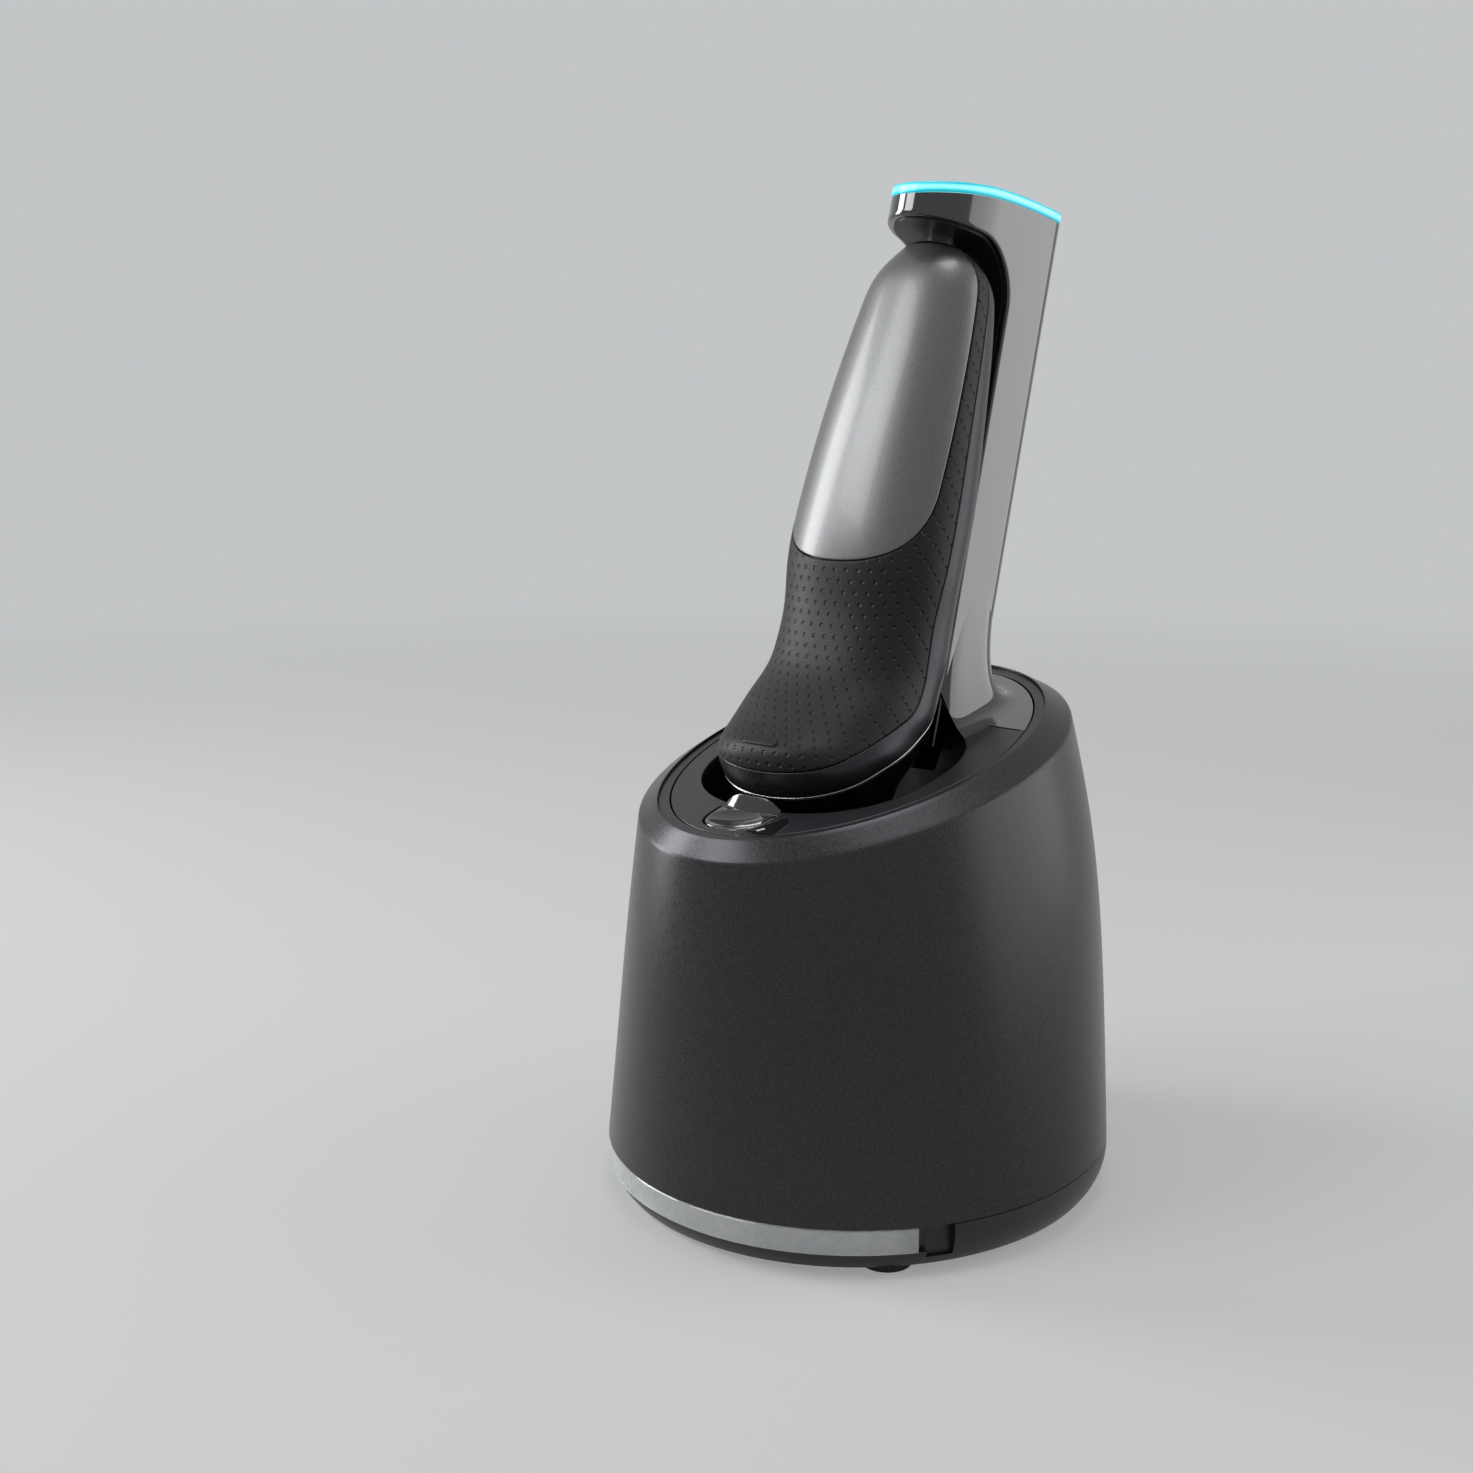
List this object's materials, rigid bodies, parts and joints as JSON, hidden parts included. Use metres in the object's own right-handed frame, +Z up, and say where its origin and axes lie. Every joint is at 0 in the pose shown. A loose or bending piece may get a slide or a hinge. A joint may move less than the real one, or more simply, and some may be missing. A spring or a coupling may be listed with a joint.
{
  "type": "shaver cleaning station",
  "caption": "Tabletop cleaning and charging station with slanted wash well, leaning lit tower, lift-off housing over a fluid cartridge, and a foil shaver docked head down.",
  "frame": {"origin": "centre of the footprint box on the surface that the feet stand on", "axes": "+Z up, front with the start button towards -Y, rear with the power socket towards +Y, +X to the right seen from the front"},
  "size_m": [0.125, 0.1373, 0.2469],
  "materials": {
    "dark_satin": "satin",
    "graphite": "fine metallic satin",
    "clear": "clear ribbed",
    "rubber_black": "matte",
    "spring_steel": "bright wire",
    "cartridge_blue": "translucent",
    "fluid": "clear liquid",
    "cartridge_lid": "satin",
    "inner_grey": "matte",
    "motor_steel": "zinc plated",
    "board_green": "solder mask",
    "socket_black": "fine grain",
    "contact_brass": "bright",
    "light_pipe": "frosted",
    "bowl_grey": "satin",
    "tube_clear": "flexible clear",
    "gloss_black": "piano gloss",
    "liner_grey": "satin",
    "strip_cyan": "lit from below",
    "pin_steel": "polished",
    "rotor_white": "natural",
    "silver_paint": "satin silver",
    "grip_rubber": "soft touch",
    "body_graphite": "satin metallic",
    "collar_black": "satin",
    "foil_steel": "perforated foil",
    "chrome_ring": "satin chrome"
  },
  "bodies": {
    "base": {"base_tray": "dark_satin", "level_window": "clear", "rubber_feet": "rubber_black", "lift_spring": "spring_steel", "cartridge_tank": "cartridge_blue", "cartridge_fluid": "fluid", "cartridge_lid": "cartridge_lid"},
    "housing": {"housing_shell": "graphite", "chassis_plate": "inner_grey", "lift_post": "inner_grey", "pump_housing": "inner_grey", "pump_motor": "motor_steel", "circuit_board": "board_green", "power_socket": "socket_black", "power_pins": "contact_brass", "deck_panel": "dark_satin", "status_light": "light_pipe", "start_switch": "board_green", "wash_bowl": "bowl_grey", "suction_tube": "tube_clear", "feed_tube": "tube_clear", "tower_shell": "gloss_black", "tower_liner": "liner_grey", "light_strip": "strip_cyan", "light_board": "board_green"},
    "start_button": {"start_button": "gloss_black"},
    "lift_button": {"lift_button": "socket_black"},
    "contact_pin": {"contact_pin": "pin_steel"},
    "pump_rotor": {"pump_rotor": "rotor_white"},
    "shaver": {"shaver_back_cover": "silver_paint", "shaver_front_panel": "gloss_black", "shaver_grip": "grip_rubber", "shaver_body": "body_graphite", "shaver_collar": "collar_black", "shaver_end_cap": "silver_paint", "shaver_head": "collar_black", "shaver_foils": "foil_steel"},
    "power_button": {"power_button": "chrome_ring"}
  },
  "joints": [
    {"name": "housing_lift", "type": "slide", "parent": "base", "child": "housing", "axis": [0, 0, 1], "range_m": [0, 0.056], "deforming": ["lift_spring"]},
    {"name": "start_button_press", "type": "slide", "parent": "housing", "child": "start_button", "axis": [0, 0.2195, -0.9756], "range_m": [0, 0.0015], "stiffness_N_per_m": 500, "springref_m": -0.001},
    {"name": "lift_button_press", "type": "slide", "parent": "housing", "child": "lift_button", "axis": [0, -1, 0], "range_m": [0, 0.003], "stiffness_N_per_m": 400, "springref_m": -0.001},
    {"name": "contact_pin_slide", "type": "slide", "parent": "housing", "child": "contact_pin", "axis": [0, 0.3173, 0.9483], "range_m": [0, 0.002], "stiffness_N_per_m": 200, "springref_m": -0.001},
    {"name": "pump_spin", "type": "hinge", "parent": "housing", "child": "pump_rotor", "pos_m": [0.021, 0.036, 0.08], "axis": [0, 0, 1], "continuous": true},
    {"name": "shaver_tilt", "type": "hinge", "parent": "housing", "child": "shaver", "pos_m": [0, -0.0213, 0.085], "axis": [1, 0, 0], "range_deg": [0, 6]},
    {"name": "power_button_press", "type": "slide", "parent": "shaver", "child": "power_button", "axis": [0, -0.9483, 0.3173], "range_m": [0, 0.0008], "stiffness_N_per_m": 800, "springref_m": -0.0005}
  ]
}
